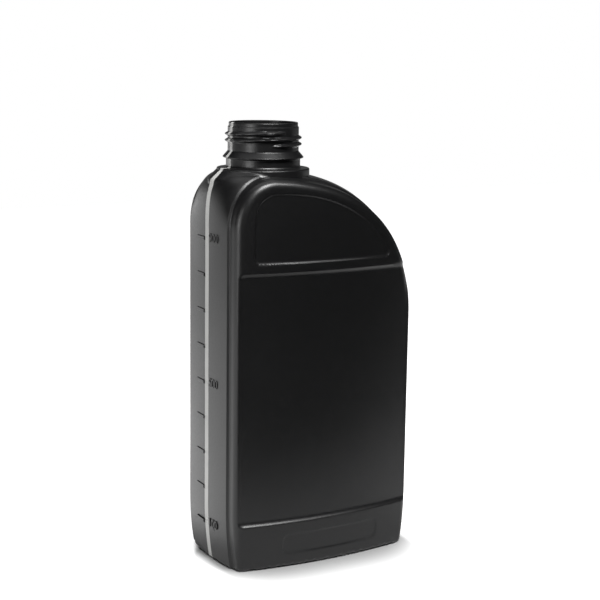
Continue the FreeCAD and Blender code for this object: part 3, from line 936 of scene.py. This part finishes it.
def plastic_material():
    """Black blown polyethylene with a stripe of unpigmented plastic down the graduated side."""
    material = bpy.data.materials.new("bottle_plastic")
    n = Nodes(material)
    place = n.add("TexCoord").outputs["Object"]
    axes = n.axes(place)

    # The stripe: a narrow band of y on the graduated side, with edges that waver a little.
    waver = n.maths("SUBTRACT", n.noise(place, *WAVER_NOISE), 0.5)
    waver = n.maths("MULTIPLY", waver, STRIP_WAVER * MM)
    low, high = (PLATFORM_TOP - PLATFORM_RAMP) * MM, (PLATFORM_TOP + NECK_STRIP_RISE) * MM
    middle = n.ramp(axes["Z"], low, high, STRIP_Y * MM, NECK_STRIP_Y * MM)
    half = n.ramp(axes["Z"], low, high, STRIP_HALF * MM, NECK_STRIP_HALF * MM)
    off = n.maths("ABSOLUTE", n.maths("SUBTRACT", n.maths("ADD", axes["Y"], waver), middle))
    stripe = n.ramp(n.maths("SUBTRACT", off, half), STRIP_EDGE[0] * MM, STRIP_EDGE[1] * MM)
    stripe = n.maths("MULTIPLY", stripe, n.maths("LESS_THAN", axes["X"], STRIP_END * MM))

    cloud = n.noise(place, *CLOUD_NOISE)
    grain = n.noise(place, *GRAIN_NOISE)
    black = n.mix(cloud, BLACK_LOW, BLACK_HIGH)
    pale = n.mix(n.noise(place, *PALE_NOISE), PALE_LOW, PALE_HIGH)
    rough = n.maths("ADD", n.ramp(cloud, *NOISE_SPAN, *CLOUD_ROUGHNESS),
                    n.ramp(grain, *NOISE_SPAN, *GRAIN_ROUGHNESS))
    fine = n.bump(grain, *GRAIN_BUMP)
    wave = n.bump(n.noise(place, *WAVE_NOISE), *WAVE_BUMP, Normal=fine)
    shader = n.add("BsdfPrincipled", {"Base Color": n.mix(stripe, black, pale), "Roughness": rough,
                                      "IOR": IOR, "Normal": wave})
    n.add("OutputMaterial", {"Surface": shader.outputs["BSDF"]})
    return material


def floor_material():
    """White board with a painted shadow: to the camera it is darker near the bottle and gets lighter away
    from it.
    """
    material = bpy.data.materials.new("floor_board")
    n = Nodes(material)
    place = n.add("TexCoord").outputs["Object"]
    axes = n.axes(place)
    light_path = n.add("LightPath").outputs
    seen = light_path["Is Camera Ray"]

    # Distance from the bottle's footprint: near it the floor carries a painted shadow, further off it is
    # plain white.
    bow = n.maths("MULTIPLY", n.maths("POWER", n.maths("ABSOLUTE", axes["X"]), 4.0), FLOOR_BOW)
    total = 0.0
    for (axis, sign), faster in zip(FLOOR_SIDES, FLOOR_SPREAD):
        past = n.maths("SUBTRACT", n.maths("MULTIPLY", axes[axis], sign), FOOTPRINT[axis] * MM)
        if axis == "Y":
            past = n.maths("ADD", past, bow)
        past = n.maths("MULTIPLY", n.maths("MAXIMUM", past, 0.0), faster)
        total = n.maths("ADD", total, n.maths("POWER", past, 2.0))
    away = n.maths("SQRT", total)

    board = n.mix(n.noise(place, *BOARD_NOISE), *(grey(g) for g in BOARD_GREYS))
    # Painted shadow: to the camera the board is darker near the bottle.
    painted_shadow = n.mix(n.ramp(away, *FLOOR_PAINTED_SHADOW_SPAN), *(grey(g) for g in PAINTED_SHADOW_GREYS))
    shader = n.add("BsdfDiffuse", {"Color": n.mix(seen, board, painted_shadow)})
    # The glow is kept off near the bottle, which deepens the painted shadow.
    lift = n.maths("MULTIPLY", seen, n.ramp(away, *FLOOR_LIFT_SPAN))
    glossy = n.maths("MULTIPLY", n.ramp(away, *FLOOR_GLOSS_SPAN), FLOOR_GLOSS_LIFT)
    for span in (FLOOR_GLOSS_BACK, FLOOR_GLOSS_FAR):
        glossy = n.maths("MULTIPLY", glossy, n.ramp(axes["Y"], *span))
    glossy = n.maths("MULTIPLY", light_path["Is Glossy Ray"], glossy)
    glow = n.add("Emission", {"Strength": n.maths("ADD", lift, glossy)})
    both = n.add("AddShader", {0: shader.outputs[0], 1: glow.outputs[0]})
    n.add("OutputMaterial", {"Surface": both.outputs[0]})
    return material


# ---------------------------------------------------------------- stage, light and camera

def make_stage():
    left, right, front, back = FLOOR_EXTENT
    corners = [(left, front, 0), (right, front, 0), (right, back, 0), (left, back, 0)]
    mesh = bpy.data.meshes.new("floor")
    mesh.from_pydata(corners, [], [(0, 1, 2, 3)])
    mesh.materials.append(floor_material())
    item = add_object("floor", mesh)


def make_world():
    """White to the camera, dim room for the rest, with a low white wall behind it in reflections."""
    world = bpy.data.worlds.new("room")
    bpy.context.scene.world = world
    n = Nodes(world)
    light_path = n.add("LightPath").outputs
    axes = n.axes(n.add("TexCoord").outputs["Generated"])
    behind = n.ramp(axes["Y"], *WALL_BEHIND)
    low = n.ramp(axes["Z"], *WALL_HEIGHT, 0.0, WALL_STRENGTH)
    wall = n.maths("MULTIPLY", n.maths("MULTIPLY", behind, low), light_path["Is Glossy Ray"])
    white = n.maths("MAXIMUM", light_path["Is Camera Ray"], wall)
    dim, bright = (n.add("Background", {"Color": grey(1.0), "Strength": s}).outputs[0] for s in (ROOM, 1.0))
    mixer = n.add("MixShader", {0: white, 1: dim, 2: bright})
    n.add("OutputWorld", {"Surface": mixer.outputs[0]})


def area_lamp(name, place, target, width, height, power):
    data = bpy.data.lights.new(name, "AREA")
    data.shape = "RECTANGLE"
    data.size = width
    data.size_y = height
    data.energy = power
    item = add_object(name, data)
    item.location = place
    item.rotation_euler = (Vector(target) - Vector(place)).to_track_quat("-Z", "Y").to_euler()


def make_camera():
    """Camera from its yaw, pitch, roll and distance to the point its axis passes."""
    yaw, pitch, roll = (math.radians(a) for a in CAMERA_ANGLES)
    forward = Vector((math.sin(yaw) * math.cos(pitch), math.cos(yaw) * math.cos(pitch), -math.sin(pitch)))
    right = Vector((math.cos(yaw), -math.sin(yaw), 0.0))
    up = right.cross(forward)
    turned_right = right * math.cos(roll) + up * math.sin(roll)
    turned_up = up * math.cos(roll) - right * math.sin(roll)
    data = bpy.data.cameras.new("camera")
    data.lens = CAMERA_LENS
    data.sensor_width = CAMERA_SENSOR
    item = add_object("camera", data)
    place = Vector(CAMERA_TARGET) * MM - forward * CAMERA_DISTANCE * MM
    turn = Matrix((turned_right, turned_up, -forward)).transposed().to_4x4()
    item.matrix_world = Matrix.Translation(place) @ turn
    bpy.context.scene.camera = item


# ---------------------------------------------------------------- scene

bottle = build_bottle()
bottle.data.materials.clear()
bottle.data.materials.append(plastic_material())
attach(bottle, "root")
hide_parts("bottle")

make_stage()
make_world()
for lamp in LAMPS:
    area_lamp(*lamp)
make_camera()
bpy.context.scene.view_settings.view_transform = "Standard"
